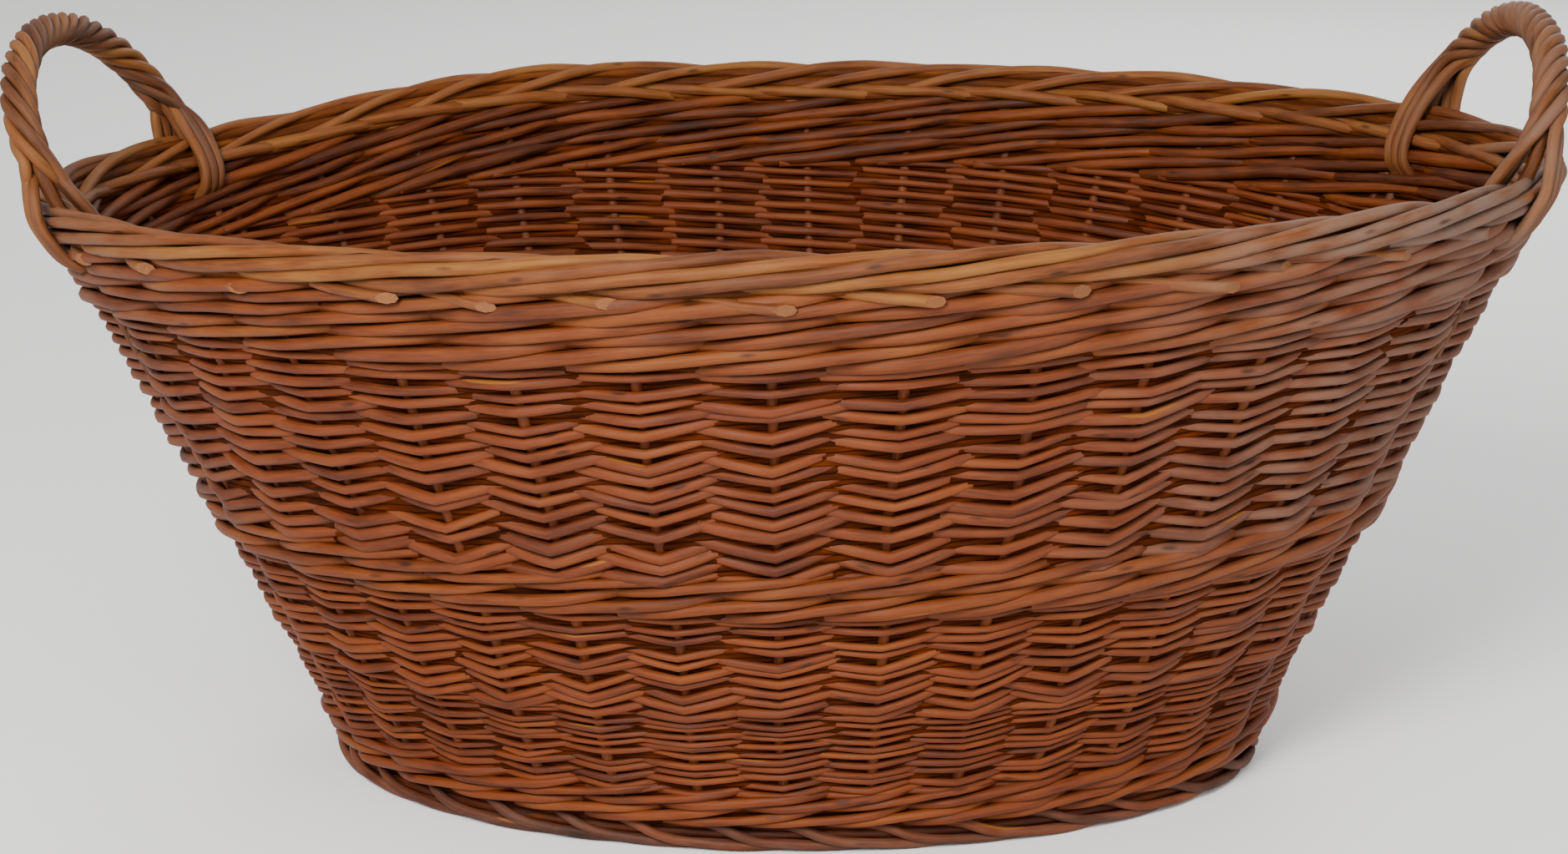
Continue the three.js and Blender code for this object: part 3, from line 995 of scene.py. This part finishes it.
def base_mat():
    """Pairs of rods twisted round the sticks, oval after oval, out to the stakes."""
    rng = np.random.default_rng(61)
    half = base_half()
    outer = half[1] - MAT_EDGE - MAT_OUTER
    rows = int((outer - MAT_INNER) / MAT_PITCH)
    parts = []
    for row in range(rows + 1):
        b = outer - (rows - row) * MAT_PITCH
        a = b + half[0] - half[1]
        at_stakes = b > half[1] - STAKE_ROWS
        marks = crossings(a, at_stakes)
        total = len(marks)
        counts = np.arange(total)
        around = np.linspace(0, 2 * np.pi, 90 + int(b))
        wrapped = np.concatenate([marks - 2 * np.pi, marks, marks + 2 * np.pi])
        wrapped_counts = np.concatenate([counts - total, counts, counts + total])
        wave = np.pi * np.interp(around, wrapped, wrapped_counts)
        lift = MAT_LIFT_AT_STAKES if at_stakes else MAT_LIFT
        for way in (-1, 1):
            shift = way * MAT_SWING * np.sin(wave)
            x = (a + shift) * np.cos(around)
            y = (b + shift) * np.sin(around)
            z = STICK_HEIGHT + way * lift * np.cos(wave)
            path = np.stack([x, y, z], axis=1)
            if total % 2 and way > 0:
                # After an odd count the pair has changed places, so this rod stops short.
                path = path[:-2]
            radius = rng.uniform(*MAT_RADII)
            parts.append(skin(rng, path[None], radius, UP, lumps=0.06))
    piece("woven_base_mat", parts, [BASE, CUT], "base_willow", "base_mat")


# ---- The studio ----

FLOOR_REACH = 6.0
FLOOR_COLOUR = (0.82, 0.85, 0.9, 1)
SKY_COLOUR = (1, 0.96, 0.9, 1)
SKY_STRENGTH = 0.95
LAMPS_AIM = Vector((0, 0, 0.15))


def lamp(name, place, power, size, colour):
    data = bpy.data.lights.new(name, "AREA")
    data.energy = power
    data.size = size
    data.color = colour
    obj = bpy.data.objects.new(name, data)
    bpy.context.scene.collection.objects.link(obj)
    obj.location = place
    obj.rotation_mode = "QUATERNION"
    obj.rotation_quaternion = (LAMPS_AIM - Vector(place)).to_track_quat("-Z", "Y")


def studio():
    mesh = bpy.data.meshes.new("studio_floor")
    corners = [(-1, -1), (1, -1), (1, 1), (-1, 1)]
    points = [(FLOOR_REACH * x, FLOOR_REACH * y, 0) for x, y in corners]
    mesh.from_pydata(points, [], [(0, 1, 2, 3)])
    floor = bpy.data.objects.new("studio_floor", mesh)
    bpy.context.scene.collection.objects.link(floor)
    n = Nodes("studio_floor")
    n.shader.inputs["Base Color"].default_value = FLOOR_COLOUR
    n.shader.inputs["Roughness"].default_value = 0.9
    mesh.materials.append(n.material)

    world = bpy.data.worlds.new("studio")
    world.use_nodes = True
    background = world.node_tree.nodes["Background"]
    background.inputs["Color"].default_value = SKY_COLOUR
    background.inputs["Strength"].default_value = SKY_STRENGTH
    bpy.context.scene.world = world

    lamp("key_light", (-0.45, -1.5, 1.15), 58, 0.6, (1, 0.95, 0.87))
    lamp("back_light", (0.7, 2.3, 1.5), 28, 1.6, (1, 0.96, 0.9))
    lamp("fill_light", (1.3, -1.6, 0.9), 16, 1.2, (1, 0.96, 0.9))


CAMERA_YAW = -0.0449
CAMERA_ROLL = 0.0097
CAMERA_PITCH = 0.2674
CAMERA_PLACE = Vector((-0.0045, -1.3446, 0.5218))
CAMERA_LENS = 69.55


def camera():
    """Turned about the upright axis by yaw, then looking down by pitch, with a slight roll."""
    data = bpy.data.cameras.new("camera")
    data.lens = CAMERA_LENS
    data.sensor_width = 36
    data.clip_start = 0.05
    cam = bpy.data.objects.new("camera", data)
    bpy.context.scene.collection.objects.link(cam)
    bpy.context.scene.camera = cam
    turn = Matrix.Rotation(-CAMERA_YAW, 4, "Z")
    tilt = Matrix.Rotation(math.pi / 2 - CAMERA_PITCH, 4, "X")
    roll = Matrix.Rotation(-CAMERA_ROLL, 4, "Z")
    cam.matrix_world = turn @ Matrix.Translation(CAMERA_PLACE) @ tilt @ roll


camera()
studio()
stakes()
foot_border()
wale(
    "upsett_wale",
    seed=31,
    bottom=12.0,
    top=29.6,
    rounds=2,
    diameter=4.6,
    material=SIDING,
    first=25.0,
    slot="siding_willow",
)
siding(
    "lower_siding_fine",
    seed=11,
    bottom=28.4,
    top=72.0,
    levels=22,
    butt=3.35,
    tip=2.3,
    far=(2.3, 2.8),
    calm=1.4,
    tone=0.5,
    scatter=0.55,
)
siding(
    "lower_siding_coarse",
    seed=12,
    bottom=70.6,
    top=121.4,
    levels=20,
    butt=4.2,
    tip=3.05,
    far=(2.2, 2.8),
    calm=1.2,
    tone=0.53,
    scatter=0.8,
)
wale(
    "middle_wale",
    seed=32,
    bottom=120.2,
    top=141.2,
    rounds=2,
    diameter=5.2,
    material=WALE,
    first=23.0,
)
siding(
    "upper_siding",
    seed=13,
    bottom=140.0,
    top=237.0,
    levels=30,
    butt=5.7,
    tip=3.8,
    far=(1.8, 2.3),
    calm=0.7,
    tone=0.55,
    scatter=0.65,
)
wale(
    "top_wale",
    seed=33,
    bottom=236.0,
    top=268.0,
    rounds=3,
    diameter=5.8,
    material=WALE,
    first=21.0,
)
rim_border()
for label, shape in HANDLES.items():
    handle(label, *shape)
base_sticks()
base_mat()
